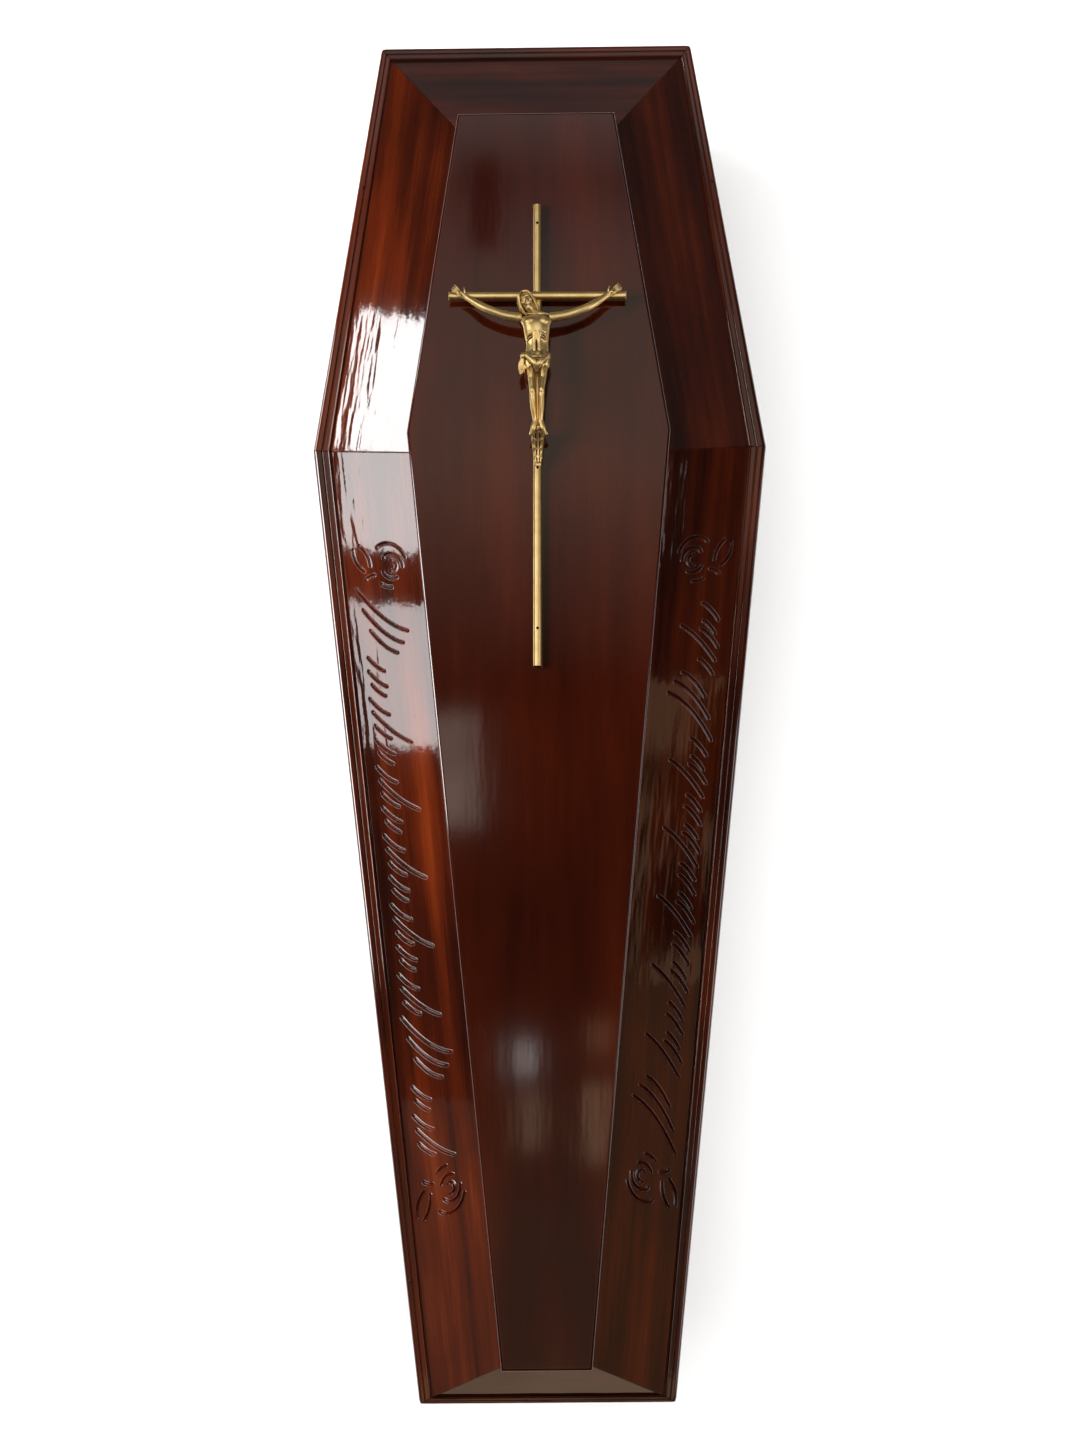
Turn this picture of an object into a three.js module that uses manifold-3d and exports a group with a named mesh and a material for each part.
// Wooden coffin with a lift-off lid, lying on its underside.
// Millimetres, +Z up, +Y towards the head, +X to the right as seen from above.
import * as THREE from 'three';
import { mergeVertices } from 'three/addons/utils/BufferGeometryUtils.js';
import Module from 'manifold-3d';

const wasm = await Module();
wasm.setup();

// Plan of the lid's rim, the widest outline
const LENGTH = 2026;
const HEAD_TO_SHOULDER = 632;
const HEAD_WIDTH = 474;
const SHOULDER_WIDTH = 680;
const FOOT_WIDTH = 366;
const HEAD_Y = LENGTH / 2;
const SHOULDER_Y = HEAD_Y - HEAD_TO_SHOULDER;
const FOOT_Y = -LENGTH / 2;

// Clearances: between stacked pieces, and at each end of a mitred piece
const GAP = 0.3;
const MITRE_GAP = 0.25;

// Base: bottom board, six flared walls and a plinth moulding
const BOTTOM_THICKNESS = 18;
const WALL_TOP_Z = 356;
const WALL_THICKNESS = 20;
const WALL_TOP_INSET = 9;
const WALL_FOOT_INSET = 33;
const PLINTH_INSET = 14;
const PLINTH_HEIGHT = 46;
const PLINTH_ROUND = 14;

// Lid rim: outer nose, shallow groove, flat band, fine bead and the seat that carries the sloping
// boards. The section is drawn 29 wide to the seat and is narrowed at each corner to the rim's width
const RIM_Z = WALL_TOP_Z + GAP;
const RIM_NOSE_HEIGHT = 20;
const RIM_NOSE_RADIUS = 8;
const RIM_LEDGE_END = 13;
const RIM_GROOVE_END = 17;
const RIM_GROOVE_DEPTH = 1.6;
const RIM_BAND_END = 23.5;
const RIM_BEAD_END = 28.5;
const RIM_BEAD_HEIGHT = 22;
const RIM_SEAT_START = 29;
const RIM_SEAT_HEIGHT = 18;
const RIM_INNER_EDGE = 76;

// Lid roof: sloping boards from the seat up to the ridge, and the flat board laid over it
const SEAT_HEAD = { half: 222, y: HEAD_Y - 21 };
const SEAT_SHOULDER = { half: 313, y: SHOULDER_Y - 1 };
const SEAT_FOOT = { half: 166.5, y: FOOT_Y + 9 };
const SLOPE_THICKNESS = 16;
const SLOPE_Z = RIM_Z + RIM_SEAT_HEIGHT + GAP;
const RIDGE_Z = 462;
const RIDGE_HEAD = { half: 113, y: SHOULDER_Y + 462 };
const RIDGE_SHOULDER = { half: 183, y: SHOULDER_Y - 26 };
const RIDGE_FOOT = { half: 56, y: SHOULDER_Y - 1330 };
const PANEL_Z = RIDGE_Z + GAP;
const PANEL_THICKNESS = 20;
const PANEL_ROUND = 4;
const PANEL_HEAD = { half: 116.5, y: SHOULDER_Y + 484 };
const PANEL_SHOULDER = { half: 192.5, y: SHOULDER_Y };
const PANEL_FOOT = { half: 63.5, y: SHOULDER_Y - 1337 };
const PANEL_TOP = PANEL_Z + PANEL_THICKNESS;

// Carved rows on the two leg-side slopes
const GROOVE_HALF_WIDTH = 3.6;
const GROOVE_DEPTH = 3;
const CUTTER_RISE = 1.5;
const ROW_BASE = 24;
const STROKE_LEAN = 0.75;
const STROKE_PITCH = 20;
const STROKE_CYCLE = [
  { height: 38, bow: 9, base: 0 },
  { height: 30, bow: 7, base: 4 },
  { height: 40, bow: 10, base: -3 },
  { height: 72, bow: 13, base: 0 },
  { height: 34, bow: 8, base: 2 },
];
const GROUP_ROOM = { before: 82, after: 24 };
const GROUP_STROKES = [
  { shift: -30, height: 92, bow: 24, base: -6 },
  { shift: -6, height: 74, bow: 20, base: 2 },
  { shift: 17, height: 52, bow: 14, base: 12 },
];
const BUD_SIZE = 40;

// Crucifix: two hollow bars and the cast figure
const CROSS_X = 0;
const CROSS_Y = SHOULDER_Y + 197;
const CROSS_TURN = THREE.MathUtils.degToRad(-0.45);
const BAR_WIDTH = 13;
const BAR_HEIGHT = 12;
const BAR_WALL = 1.6;
const UPRIGHT_ABOVE = 142;
const UPRIGHT_BELOW = 546;
const CROSSBAR_LENGTH = 259;
const NAIL_HOLE_RADIUS = 2;
const NAIL_HOLE_PLACES = [113, -255, -491];
const CROSSBAR_FRONT = 2 * BAR_HEIGHT + GAP;
const FIGURE_X = -4;
const FIGURE_Y = SHOULDER_Y + 191;

const VARNISH = new THREE.MeshStandardMaterial({ color: 0x4a1a0c, roughness: 0.22, metalness: 0 });
const PANEL_VARNISH = new THREE.MeshStandardMaterial({ color: 0x36211b, roughness: 0.2, metalness: 0 });
const GOLD = new THREE.MeshStandardMaterial({ color: 0xcfa75c, roughness: 0.25, metalness: 1 });

const EDGE_NAMES = ['head', 'head_left', 'leg_left', 'foot', 'leg_right', 'head_right'];
const LEG_LEFT = EDGE_NAMES.indexOf('leg_left');
const LEG_RIGHT = EDGE_NAMES.indexOf('leg_right');
const SIDES = EDGE_NAMES.length;

// Six-sided outline, anticlockwise from the right head corner; edge i runs from corner i to i + 1
function coffinOutline(head, shoulder, foot) {
  return [
    new THREE.Vector2(head.half, head.y),
    new THREE.Vector2(-head.half, head.y),
    new THREE.Vector2(-shoulder.half, shoulder.y),
    new THREE.Vector2(-foot.half, foot.y),
    new THREE.Vector2(foot.half, foot.y),
    new THREE.Vector2(shoulder.half, shoulder.y),
  ];
}

// Corner i of an outline whose edges all move inwards, each by its own distance
function insetCorner(outline, i, distances) {
  const before = (i + SIDES - 1) % SIDES;
  const corner = outline[i];
  const along = outline[(i + 1) % SIDES].clone().sub(corner).normalize();
  const arriving = corner.clone().sub(outline[before]).normalize();
  const normal = new THREE.Vector2(-along.y, along.x);
  const otherNormal = new THREE.Vector2(-arriving.y, arriving.x);
  const determinant = normal.x * otherNormal.y - normal.y * otherNormal.x;
  const here = distances[i];
  const there = distances[before];
  return new THREE.Vector2(
    corner.x + (here * otherNormal.y - there * normal.y) / determinant,
    corner.y + (there * normal.x - here * otherNormal.x) / determinant,
  );
}

function insetOutline(outline, distances) {
  return outline.map((corner, i) => insetCorner(outline, i, distances));
}

function insetEvenly(outline, distance) {
  return insetOutline(outline, new Array(SIDES).fill(distance));
}

const RIM_OUTLINE = coffinOutline(
  { half: HEAD_WIDTH / 2, y: HEAD_Y },
  { half: SHOULDER_WIDTH / 2, y: SHOULDER_Y },
  { half: FOOT_WIDTH / 2, y: FOOT_Y },
);
const SEAT_OUTLINE = coffinOutline(SEAT_HEAD, SEAT_SHOULDER, SEAT_FOOT);
const RIDGE_OUTLINE = coffinOutline(RIDGE_HEAD, RIDGE_SHOULDER, RIDGE_FOOT);
const PANEL_OUTLINE = coffinOutline(PANEL_HEAD, PANEL_SHOULDER, PANEL_FOOT);

// Merges a geometry's shared corners and turns its faces outwards
function closedGeometry(source) {
  const bare = source.clone();
  bare.deleteAttribute('normal');
  bare.deleteAttribute('uv');
  const geometry = mergeVertices(bare, 1e-4);
  const place = geometry.attributes.position;
  const [a, b, c] = [new THREE.Vector3(), new THREE.Vector3(), new THREE.Vector3()];
  const index = Array.from(geometry.index.array);
  let volume = 0;
  for (let k = 0; k < index.length; k += 3) {
    a.fromBufferAttribute(place, index[k]);
    b.fromBufferAttribute(place, index[k + 1]);
    c.fromBufferAttribute(place, index[k + 2]);
    volume += a.dot(b.cross(c)) / 6;
  }
  if (volume < 0) {
    geometry.setIndex(index.reverse());
  }
  return geometry;
}

// Moves every vertex of a geometry to where a function puts it
function warp(geometry, placeOf) {
  const place = geometry.attributes.position;
  const vertex = new THREE.Vector3();
  for (let k = 0; k < place.count; k += 1) {
    vertex.fromBufferAttribute(place, k);
    const moved = placeOf(vertex);
    place.setXYZ(k, moved.x, moved.y, moved.z);
  }
  return geometry;
}

function solidOf(geometry) {
  const closed = closedGeometry(geometry);
  return new wasm.Manifold(new wasm.Mesh({
    numProp: 3,
    vertProperties: new Float32Array(closed.attributes.position.array),
    triVerts: new Uint32Array(closed.index.array),
  }));
}

function geometryOf(solid) {
  const mesh = solid.getMesh();
  const geometry = new THREE.BufferGeometry();
  geometry.setAttribute('position', new THREE.BufferAttribute(mesh.vertProperties, 3));
  geometry.setIndex(new THREE.BufferAttribute(mesh.triVerts, 1));
  return geometry;
}

function joined(geometries) {
  return geometries.map(solidOf).reduce((whole, piece) => whole.add(piece));
}

const coffin = new THREE.Group();

function addPiece(name, geometry, material) {
  const piece = new THREE.Mesh(geometry, material);
  piece.name = name;
  coffin.add(piece);
  return piece;
}

// Moves a point in from the mitre at either end of an edge
function easeMitre(point, from, to, along) {
  const direction = to.clone().sub(from).normalize();
  return point.addScaledVector(direction, MITRE_GAP * (1 - 2 * along));
}

// Board between four outlines: low and high, on its outer and inner face
function boardPoint(edge, faces, along, depth, rise) {
  const ends = [edge, (edge + 1) % SIDES].map((corner) => {
    const low = faces.outerLow[corner].clone().lerp(faces.innerLow[corner], depth);
    const high = faces.outerHigh[corner].clone().lerp(faces.innerHigh[corner], depth);
    return low.lerp(high, rise);
  });
  const plan = ends[0].clone().lerp(ends[1], along);
  easeMitre(plan, ends[0], ends[1], along);
  return new THREE.Vector3(plan.x, plan.y, THREE.MathUtils.lerp(faces.lowZ, faces.highZ, rise));
}

function boardGeometry(edge, faces, lengthSteps) {
  const box = new THREE.BoxGeometry(1, 1, 1, lengthSteps, 1, 1).translate(0.5, 0.5, 0.5);
  return closedGeometry(warp(box, (unit) => boardPoint(edge, faces, unit.x, unit.y, unit.z)));
}

// Moulding of one section, run along an edge and mitred at both ends. The reach outline is where
// a place one unit in from the outside comes to lie at each corner
function mouldingGeometry(edge, section, reach) {
  const length = new THREE.ExtrudeGeometry(section, { depth: 1, bevelEnabled: false, curveSegments: 3 });
  const next = (edge + 1) % SIDES;
  return closedGeometry(warp(length, (unit) => {
    const start = RIM_OUTLINE[edge].clone().lerp(reach[edge], unit.x);
    const end = RIM_OUTLINE[next].clone().lerp(reach[next], unit.x);
    const plan = easeMitre(start.clone().lerp(end, unit.z), start, end, unit.z);
    return new THREE.Vector3(plan.x, plan.y, unit.y);
  }));
}

// Base
const wallRise = WALL_TOP_Z - BOTTOM_THICKNESS - GAP;
const WALL_FACES = {
  outerLow: insetEvenly(RIM_OUTLINE, WALL_FOOT_INSET),
  outerHigh: insetEvenly(RIM_OUTLINE, WALL_TOP_INSET),
  innerLow: insetEvenly(RIM_OUTLINE, WALL_FOOT_INSET + WALL_THICKNESS),
  innerHigh: insetEvenly(RIM_OUTLINE, WALL_TOP_INSET + WALL_THICKNESS),
  lowZ: BOTTOM_THICKNESS + GAP,
  highZ: WALL_TOP_Z,
};

function addBottomBoard() {
  const outline = new THREE.Shape(WALL_FACES.outerLow);
  const board = new THREE.ExtrudeGeometry(outline, { depth: BOTTOM_THICKNESS, bevelEnabled: false });
  addPiece('base_bottom_board', closedGeometry(board), VARNISH);
}

function plinthSection() {
  const backAtTop = WALL_FOOT_INSET
    - (WALL_FOOT_INSET - WALL_TOP_INSET) * (PLINTH_HEIGHT - WALL_FACES.lowZ) / wallRise - GAP;
  const section = new THREE.Shape();
  section.moveTo(WALL_FOOT_INSET - GAP, 0);
  section.lineTo(WALL_FOOT_INSET - GAP, WALL_FACES.lowZ);
  section.lineTo(backAtTop, PLINTH_HEIGHT);
  section.lineTo(PLINTH_INSET + PLINTH_ROUND, PLINTH_HEIGHT);
  section.quadraticCurveTo(
    PLINTH_INSET, PLINTH_HEIGHT, PLINTH_INSET, PLINTH_HEIGHT - PLINTH_ROUND,
  );
  section.lineTo(PLINTH_INSET, 0);
  return section;
}

addBottomBoard();
const plinthReach = insetEvenly(RIM_OUTLINE, 1);
EDGE_NAMES.forEach((name, edge) => {
  addPiece(`base_wall_${name}`, boardGeometry(edge, WALL_FACES, 1), VARNISH);
  addPiece(`base_plinth_${name}`, mouldingGeometry(edge, plinthSection(), plinthReach), VARNISH);
});

// Lid rim
function rimSection() {
  const section = new THREE.Shape();
  const nose = RIM_NOSE_RADIUS;
  const grooveMiddle = (RIM_LEDGE_END + RIM_GROOVE_END) / 2;
  const grooveFloor = RIM_NOSE_HEIGHT - RIM_GROOVE_DEPTH;
  const beadRound = RIM_BEAD_HEIGHT + RIM_BEAD_HEIGHT - RIM_SEAT_HEIGHT;
  const beadMiddle = (RIM_BAND_END + RIM_BEAD_END) / 2;
  section.moveTo(nose / 2, 0);
  section.quadraticCurveTo(0, 0, 0, nose / 2);
  section.lineTo(0, RIM_NOSE_HEIGHT - nose);
  section.quadraticCurveTo(0, RIM_NOSE_HEIGHT, nose, RIM_NOSE_HEIGHT);
  section.lineTo(RIM_LEDGE_END, RIM_NOSE_HEIGHT);
  section.quadraticCurveTo(grooveMiddle, 2 * grooveFloor - RIM_NOSE_HEIGHT, RIM_GROOVE_END, RIM_NOSE_HEIGHT);
  section.lineTo(RIM_BAND_END, RIM_NOSE_HEIGHT);
  section.quadraticCurveTo(beadMiddle, beadRound, RIM_BEAD_END, RIM_SEAT_HEIGHT);
  section.lineTo(RIM_INNER_EDGE, RIM_SEAT_HEIGHT);
  section.lineTo(RIM_INNER_EDGE, 0);
  return section;
}

const rimReach = RIM_OUTLINE.map((corner, i) => corner.clone().lerp(SEAT_OUTLINE[i], 1 / RIM_SEAT_START));
EDGE_NAMES.forEach((name, edge) => {
  const rim = mouldingGeometry(edge, rimSection(), rimReach).translate(0, 0, RIM_Z);
  addPiece(`lid_rim_${name}`, rim, VARNISH);
});

// Lid slopes
// Level width of a sloping board's cut ends, from its thickness and its pitch
function levelThickness(edge) {
  const middle = (outline) => outline[edge].clone().add(outline[(edge + 1) % SIDES]).multiplyScalar(0.5);
  const along = RIM_OUTLINE[(edge + 1) % SIDES].clone().sub(RIM_OUTLINE[edge]).normalize();
  const run = Math.abs(along.cross(middle(RIDGE_OUTLINE).sub(middle(SEAT_OUTLINE))));
  const rise = RIDGE_Z - SLOPE_Z;
  return SLOPE_THICKNESS * Math.hypot(run, rise) / rise;
}

const levelThicknesses = EDGE_NAMES.map((name, edge) => levelThickness(edge));
const SLOPE_FACES = {
  outerLow: SEAT_OUTLINE,
  outerHigh: RIDGE_OUTLINE,
  innerLow: insetOutline(SEAT_OUTLINE, levelThicknesses),
  innerHigh: insetOutline(RIDGE_OUTLINE, levelThicknesses),
  lowZ: SLOPE_Z,
  highZ: RIDGE_Z,
};
const SLOPE_STEPS = 6;

// Carving space of a leg-side slope: millimetres along it from the shoulder, and up it from the rim
function carvingSpace(edge) {
  const fromShoulder = edge === LEG_LEFT;
  const at = (along, rise) => boardPoint(edge, SLOPE_FACES, fromShoulder ? along : 1 - along, 0, rise);
  const length = at(0, 0.5).distanceTo(at(1, 0.5));
  const height = at(0.5, 0).distanceTo(at(0.5, 1));
  const origin = at(0.5, 0.5);
  const lengthwise = at(1, 0.5).sub(at(0, 0.5)).normalize();
  const normal = lengthwise.clone().cross(at(0.5, 1).sub(origin)).normalize();
  if (normal.z < 0) {
    normal.negate();
  }
  return { at, length, height, normal };
}

// One gouged stroke: a V-shaped cutter along a bowed line, thinning out at both ends
function strokeCutter(space, curve, steps) {
  const shape = new THREE.Shape();
  const spread = GROOVE_HALF_WIDTH * (GROOVE_DEPTH + CUTTER_RISE) / GROOVE_DEPTH;
  shape.moveTo(-spread, CUTTER_RISE);
  shape.lineTo(0, -GROOVE_DEPTH);
  shape.lineTo(spread, CUTTER_RISE);
  const cutter = new THREE.ExtrudeGeometry(shape, { depth: 1, steps, bevelEnabled: false });
  return warp(cutter, (unit) => {
    const middle = curve.getPoint(unit.z);
    const heading = curve.getTangent(unit.z);
    const fullness = 0.35 + 0.65 * Math.sqrt(Math.sin(Math.PI * (0.04 + 0.92 * unit.z)));
    const across = unit.x * fullness;
    const lengthwise = middle.x - heading.y * across;
    const upwards = middle.y + heading.x * across;
    const lift = unit.y > 0 ? unit.y : unit.y * fullness;
    const foot = space.at(lengthwise / space.length, upwards / space.height);
    return foot.addScaledVector(space.normal, lift);
  });
}

// Leaning bowed stroke that starts on the row's base line
function leaningStroke(start, base, height, lean, bow) {
  const foot = new THREE.Vector2(start, base);
  const head = new THREE.Vector2(start + lean * height, base + height);
  const middle = foot.clone().lerp(head, 0.5);
  middle.x += bow;
  return new THREE.QuadraticBezierCurve(foot, middle, head);
}

function arcStroke(centre, radius, startDegrees, sweepDegrees) {
  const start = THREE.MathUtils.degToRad(startDegrees);
  const end = start + THREE.MathUtils.degToRad(sweepDegrees);
  return new THREE.EllipseCurve(centre.x, centre.y, radius, radius, start, end, sweepDegrees < 0, 0);
}

// Rosebud with a leaf and a stem, drawn with arcs; turn is its direction along the slope
function rosebudStrokes(along, up, turn) {
  const centre = new THREE.Vector2(along, up);
  const shifted = (dx, dy) => new THREE.Vector2(centre.x + turn * dx * BUD_SIZE, centre.y + dy * BUD_SIZE);
  const turned = (degrees) => (turn > 0 ? degrees : 180 - degrees);
  const arc = (dx, dy, radius, start, sweep) => (
    arcStroke(shifted(dx, dy), radius * BUD_SIZE, turned(start), turn * sweep)
  );
  return [
    arc(0.08, 0.42, 0.2, -50, 260),
    arc(0.08, 0.42, 0.47, 75, 165),
    arc(0.08, 0.42, 0.47, -75, 110),
    arc(0, 0.3, 0.78, 100, 125),
    arc(0.1, 0.3, 0.78, -40, 50),
    arc(1.25, -0.3, 0.85, 180, 44),
    arc(0.076, -1.506, 0.95, 85, 66),
    arc(-0.506, -0.412, 0.87, 260, 76),
  ];
}

// Row of strokes between two rosebuds. All lean and bow one way, in a short cycle of heights,
// and two groups of nested tall strokes stand in the row
function rowStrokes(row) {
  const strokes = [];
  const addStroke = (start, base, height, bow, steps) => {
    const curve = leaningStroke(start, base, height, row.lean * STROKE_LEAN, row.lean * bow);
    strokes.push({ curve, steps });
  };
  const clear = (along) => row.groups.every((group) => {
    const past = (along - group) * row.lean;
    return past < -GROUP_ROOM.before || past > GROUP_ROOM.after;
  });
  for (let along = row.start, k = 0; along < row.end; along += STROKE_PITCH, k += 1) {
    const { height, bow, base } = STROKE_CYCLE[k % STROKE_CYCLE.length];
    if (clear(along)) {
      addStroke(along, ROW_BASE + base, height, bow, 3);
    }
  }
  row.groups.forEach((group) => {
    GROUP_STROKES.forEach(({ shift, height, bow, base }) => {
      const start = group + row.lean * (shift - STROKE_LEAN * height / 2);
      addStroke(start, ROW_BASE + base, height, bow, 4);
    });
  });
  row.buds.forEach(({ along, up, turn }) => {
    rosebudStrokes(along, up, turn).forEach((curve) => strokes.push({ curve, steps: 4 }));
  });
  return strokes;
}

const ROWS = {
  [LEG_LEFT]: {
    lean: 1,
    start: 225,
    end: 1010,
    groups: [268, 890],
    buds: [{ along: 170, up: 72, turn: 1 }, { along: 1085, up: 62, turn: -1 }],
  },
  [LEG_RIGHT]: {
    lean: -1,
    start: 260,
    end: 1010,
    groups: [372, 962],
    buds: [{ along: 165, up: 66, turn: 1 }, { along: 1070, up: 62, turn: -1 }],
  },
};

function carvedSlope(edge) {
  const space = carvingSpace(edge);
  const cutters = rowStrokes(ROWS[edge]).map(({ curve, steps }) => strokeCutter(space, curve, steps));
  const board = solidOf(boardGeometry(edge, SLOPE_FACES, SLOPE_STEPS));
  return geometryOf(board.subtract(joined(cutters)));
}

EDGE_NAMES.forEach((name, edge) => {
  const carved = edge in ROWS;
  const slope = carved ? carvedSlope(edge) : boardGeometry(edge, SLOPE_FACES, SLOPE_STEPS);
  addPiece(`lid_slope_${name}`, slope, VARNISH);
});

// Flat board laid over the ridge, with a rounded edge
function addTopPanel() {
  const outline = new THREE.Shape(insetEvenly(PANEL_OUTLINE, PANEL_ROUND));
  const panel = new THREE.ExtrudeGeometry(outline, {
    depth: PANEL_THICKNESS - 2 * PANEL_ROUND,
    bevelThickness: PANEL_ROUND,
    bevelSize: PANEL_ROUND,
    bevelSegments: 3,
  });
  panel.translate(0, 0, PANEL_Z + PANEL_ROUND);
  addPiece('lid_top_panel', closedGeometry(panel), PANEL_VARNISH);
}

addTopPanel();

// Crucifix bars: an arched channel, open below and at its ends
function channelSection() {
  const section = new THREE.Shape();
  const half = BAR_WIDTH / 2;
  const inner = half - BAR_WALL;
  const spring = BAR_HEIGHT - half;
  section.moveTo(half, 0);
  section.lineTo(half, spring);
  section.absarc(0, spring, half, 0, Math.PI, false);
  section.lineTo(-half, 0);
  section.lineTo(-inner, 0);
  section.lineTo(-inner, spring);
  section.absarc(0, spring, inner, Math.PI, 0, true);
  section.lineTo(inner, 0);
  return section;
}

function channelBar(length) {
  const bar = new THREE.ExtrudeGeometry(channelSection(), {
    depth: length, bevelEnabled: false, curveSegments: 8,
  });
  return bar.rotateX(Math.PI / 2);
}

const CROSS_PLACE = new THREE.Vector3(CROSS_X, CROSS_Y, PANEL_TOP + GAP);

function addUpright() {
  const bar = channelBar(UPRIGHT_ABOVE + UPRIGHT_BELOW).translate(0, UPRIGHT_ABOVE, 0);
  const holes = NAIL_HOLE_PLACES.map((place) => (
    new THREE.CylinderGeometry(NAIL_HOLE_RADIUS, NAIL_HOLE_RADIUS, BAR_HEIGHT, 10)
      .rotateX(Math.PI / 2)
      .translate(0, place, BAR_HEIGHT)
  ));
  const upright = solidOf(bar).subtract(joined(holes));
  addPiece('crucifix_upright', geometryOf(upright).rotateZ(CROSS_TURN), GOLD).position.copy(CROSS_PLACE);
}

function addCrossbar() {
  const bar = channelBar(CROSSBAR_LENGTH).rotateZ(Math.PI / 2);
  bar.translate(-CROSSBAR_LENGTH / 2, 0, BAR_HEIGHT + GAP);
  addPiece('crucifix_crossbar', closedGeometry(bar).rotateZ(CROSS_TURN), GOLD).position.copy(CROSS_PLACE);
}

addUpright();
addCrossbar();

// Figure: its places are measured from a point on the panel by the crossing, with z towards the viewer
const at = (x, y, z) => new THREE.Vector3(x, y, z);
const FIGURE_PLACE = at(FIGURE_X, FIGURE_Y, PANEL_TOP + GAP);

function ellipsoid(centre, radii, lean = 0) {
  return new THREE.SphereGeometry(1, 7, 5)
    .scale(radii.x, radii.y, radii.z)
    .rotateZ(lean)
    .translate(centre.x, centre.y, centre.z);
}

// Round limb through a few joints, with a radius at each
function limb(joints, radii, steps, sides = 6) {
  const curve = new THREE.CatmullRomCurve3(joints);
  const frames = curve.computeFrenetFrames(steps);
  const tube = new THREE.CylinderGeometry(1, 1, 1, sides, steps).translate(0, 0.5, 0);
  return warp(tube, (unit) => {
    const step = Math.round(unit.y * steps);
    const position = unit.y * (radii.length - 1);
    const low = Math.min(Math.floor(position), radii.length - 2);
    const radius = THREE.MathUtils.lerp(radii[low], radii[low + 1], position - low);
    return curve.getPointAt(unit.y)
      .addScaledVector(frames.normals[step], unit.x * radius)
      .addScaledVector(frames.binormals[step], unit.z * radius);
  });
}

// Trunk through level oval sections, each with its place and half sizes
function trunk(sections, ripple = () => 1) {
  const last = sections.length - 1;
  const barrel = new THREE.CylinderGeometry(1, 1, 1, 11, last).translate(0, 0.5, 0);
  return warp(barrel, (unit) => {
    const section = sections[Math.round(unit.y * last)];
    const swell = ripple(Math.atan2(unit.z, unit.x), unit.y);
    return at(
      section.x + unit.x * section.half * swell,
      section.y,
      section.z + unit.z * section.deep * swell,
    );
  });
}

const HEAD_CENTRE = at(-12.5, -11, 49);
const HEAD_LEAN = THREE.MathUtils.degToRad(24);
const HEAD_RADII = at(9.5, 13.5, 11);
const CHEST_Z = 40;

// A place on the head, measured from its centre along its own leaning axes
function onHead(x, y, z) {
  return at(x, y, z).applyAxisAngle(at(0, 0, 1), HEAD_LEAN).add(HEAD_CENTRE);
}

function torsoPieces() {
  const sections = [
    { x: -3, y: -22, z: 41, half: 6, deep: 6 },
    { x: -2, y: -29, z: 40, half: 16, deep: 8 },
    { x: -1, y: -35, z: CHEST_Z, half: 21.5, deep: 9.5 },
    { x: -0.5, y: -46, z: CHEST_Z + 1, half: 19, deep: 11.5 },
    { x: 0, y: -60, z: CHEST_Z + 1, half: 17, deep: 11 },
    { x: 0.5, y: -72, z: CHEST_Z, half: 15.5, deep: 9 },
    { x: 0, y: -84, z: CHEST_Z, half: 16.5, deep: 9.5 },
    { x: -0.5, y: -98, z: CHEST_Z, half: 17.5, deep: 10.5 },
    { x: -0.5, y: -108, z: CHEST_Z, half: 13, deep: 9 },
  ].reverse();
  const ribs = [-1, 1].flatMap((side) => [0, 1].map((k) => (
    limb([at(side * 4, -50 - 9 * k, 50), at(side * 11, -53 - 9 * k, 48.5), at(side * 16, -58 - 9 * k, 43)],
      [1.2, 1.6, 1.2], 2, 4)
  )));
  const breasts = [-1, 1].map((side) => ellipsoid(at(side * 8.5, -41, 47.5), at(9, 6.5, 4)));
  return [trunk(sections), ...ribs, ...breasts];
}

function clothPieces() {
  const sections = [
    { x: 0, y: -86, z: CHEST_Z, half: 17, deep: 10.5 },
    { x: -0.5, y: -92, z: CHEST_Z, half: 19.5, deep: 12.5 },
    { x: -0.5, y: -98, z: CHEST_Z, half: 19, deep: 12.5 },
    { x: -0.5, y: -104, z: CHEST_Z, half: 18.5, deep: 12 },
    { x: -0.5, y: -109, z: CHEST_Z, half: 17, deep: 10.5 },
  ].reverse();
  const folds = (angle, rise) => 1 + 0.035 * Math.sin(8 * angle + 5 * rise);
  return [
    trunk(sections, folds),
    limb([at(-17, -87, 49), at(-2, -97, 53.5), at(17, -90, 48)], [2.4, 3.4, 2.4], 4),
    limb([at(-15, -92, 50), at(-3, -104, 53), at(-1, -115, 49)], [3.4, 5, 2], 3),
    limb([at(15, -92, 49), at(4, -104, 53), at(0, -114, 49)], [3.4, 5, 2], 3),
    ellipsoid(at(-19.5, -92, 46), at(5, 5.5, 5)),
    limb([at(-20, -92, 45), at(-23, -106, 44), at(-21.5, -118, 42)], [4, 4.6, 2.6], 3),
  ];
}

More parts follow.
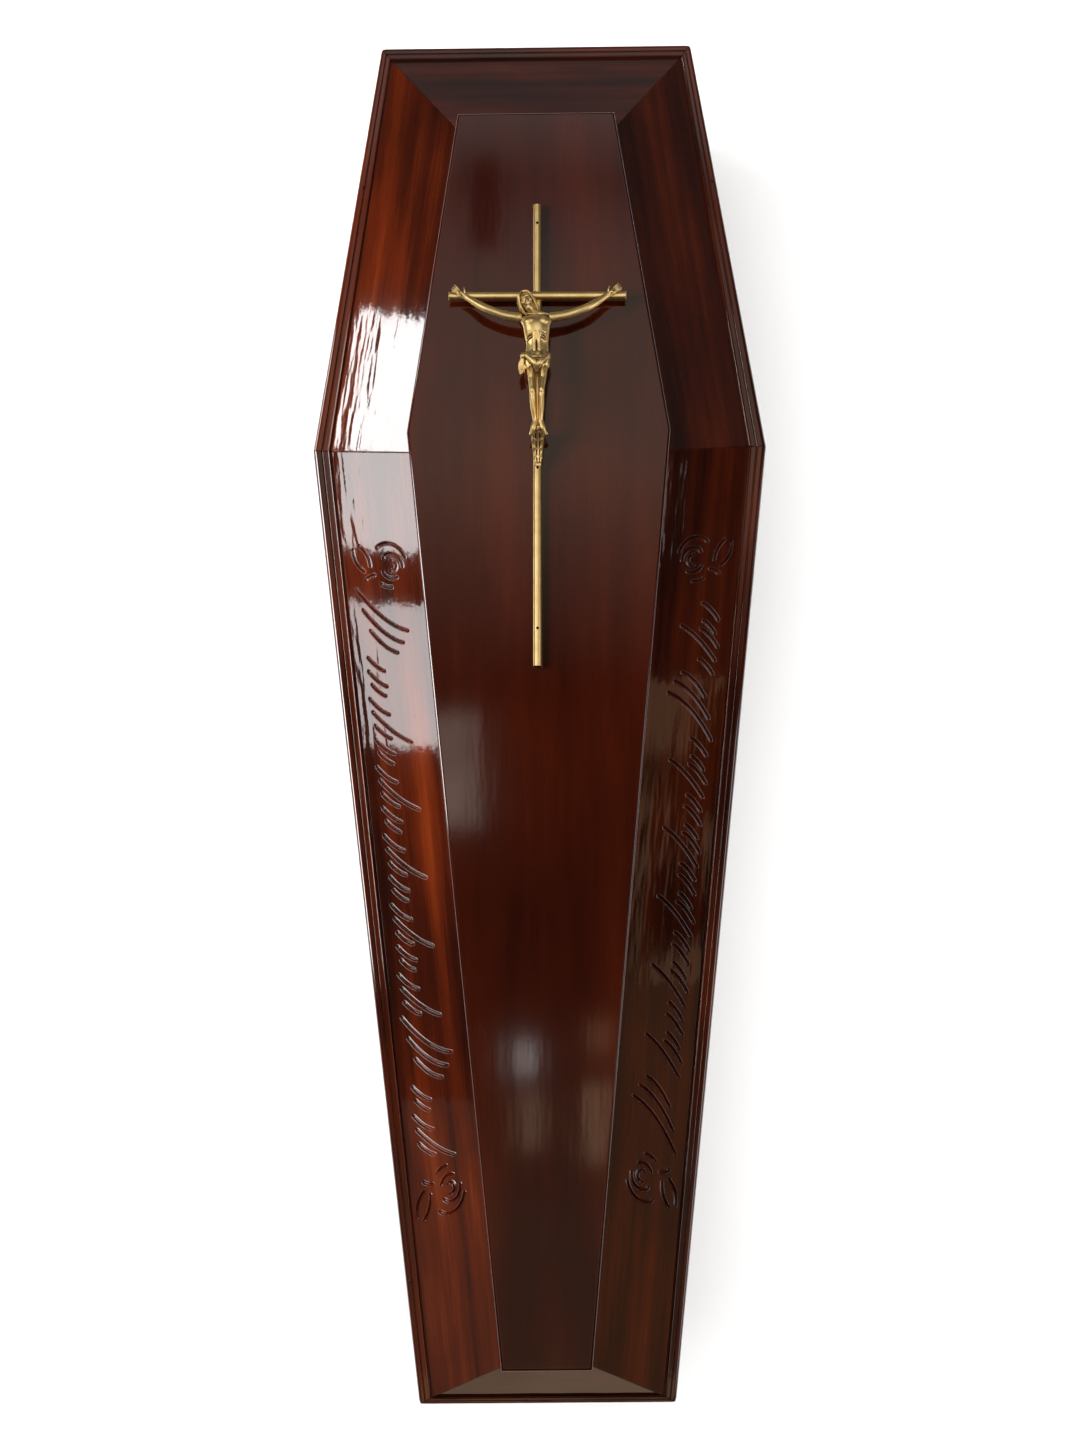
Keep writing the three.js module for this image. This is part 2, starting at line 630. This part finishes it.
function armPieces() {
  return [-1, 1].flatMap((side) => {
    const shoulder = at(side * 24 - 1.5, -33, 39);
    const elbow = at(side * 67, -21, 37);
    const wrist = at(side * 100, 0, 30);
    const knuckles = at(side * 110, 7, 29.5);
    const fingertips = at(side * 120, 14, 29.5);
    const upperArm = shoulder.clone().lerp(elbow, 0.5).add(at(0, -2, 0));
    const forearm = elbow.clone().lerp(wrist, 0.4).add(at(0, -1.5, 0.5));
    return [
      ellipsoid(shoulder, at(8.5, 7.5, 7.5)),
      limb([shoulder, upperArm, elbow, forearm, wrist, knuckles], [7, 6, 5.2, 5.6, 3.8, 4.2], 7),
      ellipsoid(knuckles, at(8, 5, 4), side * 0.6),
      limb([knuckles, fingertips], [3.8, 1.8], 1),
      limb([at(side * 105, 6, 31), at(side * 104, 14, 32)], [2.2, 1.3], 1, 5),
      new THREE.CylinderGeometry(2.6, 2.6, 3, 6).rotateX(Math.PI / 2).translate(side * 109, 6.5, 34),
    ];
  });
}

function legPieces() {
  const legs = [
    { hip: -9, knee: -8.5, ankle: -3.4, toe: -8.5, kneeZ: 50 },
    { hip: 9.5, knee: 7.5, ankle: 4.4, toe: 10.5, kneeZ: 52 },
  ];
  return legs.flatMap(({ hip, knee, ankle, toe, kneeZ }) => [
    limb(
      [at(hip, -100, 40), at((hip + knee) / 2, -123, 46), at(knee, -145, kneeZ), at(knee * 0.9, -164, 46),
        at(ankle, -190, 39)],
      [7.6, 6.8, 5.4, 5.6, 3.6], 6, 7,
    ),
    ellipsoid(at(knee, -144, kneeZ + 2), at(4.4, 6, 4)),
    limb([at(ankle, -187, 39), at((ankle + toe) / 2, -197, 39), at(toe, -205, 37)], [4, 4.4, 2.6], 4),
  ]);
}

function headPieces() {
  const locks = [-1, 1].flatMap((side) => [0, 1].map((k) => (
    limb([onHead(side * (7.5 + k), 7 - 3 * k, 4 - 4 * k), onHead(side * (10 + 0.6 * k), -6 - k, 3 - 4 * k),
      onHead(side * (9.5 + k) + 1, -19 + k, 0 - 4 * k)], [3, 3.4, 1.6], 3, 5)
  )));
  return [
    ellipsoid(HEAD_CENTRE, HEAD_RADII, HEAD_LEAN),
    ellipsoid(onHead(0, 3.5, -2.5), at(11, 13, 10.5), HEAD_LEAN),
    limb([at(-3, -32, 40), at(-6, -24, 43), HEAD_CENTRE], [7, 6.2, 6], 4),
    limb([onHead(0, 4, 10), onHead(0, -0.5, 12), onHead(0, -3, 12.6)], [1.2, 1.6, 2], 3),
    limb([onHead(-6, 3.8, 8.4), onHead(0, 4.6, 10.2), onHead(6, 3.8, 8.4)], [1.2, 1.6, 1.2], 4),
    limb([onHead(0, -7, 8), onHead(0, -13, 8), onHead(0, -20, 5)], [5.2, 5, 1.8], 4),
    ...locks,
  ];
}

// Console that carries the feet and dies into the upright, with three ribs spreading up its front
const CONSOLE_TOP = -198;
const CONSOLE_BOTTOM = -247;

function consolePlace(x, rise, lift) {
  const half = THREE.MathUtils.lerp(5, 10.5, rise);
  const front = THREE.MathUtils.lerp(15, 37, rise * rise);
  return at(x * half, THREE.MathUtils.lerp(CONSOLE_BOTTOM, CONSOLE_TOP, rise), front + lift);
}

function bracketPieces() {
  const box = new THREE.BoxGeometry(1, 1, 1, 1, 5, 1).translate(0, 0.5, 0);
  const corbel = warp(box, (unit) => {
    const place = consolePlace(2 * unit.x, unit.y, 0);
    place.z = unit.z > 0 ? place.z : BAR_HEIGHT + GAP;
    return place;
  });
  const ribs = [-1, 0, 1].map((side) => (
    limb([0.1, 0.45, 0.75, 1].map((rise) => consolePlace(0.62 * side, rise, 0)), [1.2, 1.8, 2.2, 2.6], 3, 5)
  ));
  return [corbel, ...ribs];
}

function addFigure() {
  const pieces = [
    ...torsoPieces(),
    ...clothPieces(),
    ...armPieces(),
    ...legPieces(),
    ...headPieces(),
    ...bracketPieces(),
  ];
  const bars = new THREE.BoxGeometry(CROSSBAR_LENGTH, BAR_WIDTH + 2 * GAP, CROSSBAR_FRONT + GAP)
    .rotateZ(CROSS_TURN)
    .translate(CROSS_X - FIGURE_X, CROSS_Y - FIGURE_Y, (CROSSBAR_FRONT + GAP) / 2);
  const figure = joined(pieces).subtract(solidOf(bars));
  addPiece('crucifix_figure', geometryOf(figure), GOLD).position.copy(FIGURE_PLACE);
}

addFigure();

export default coffin;
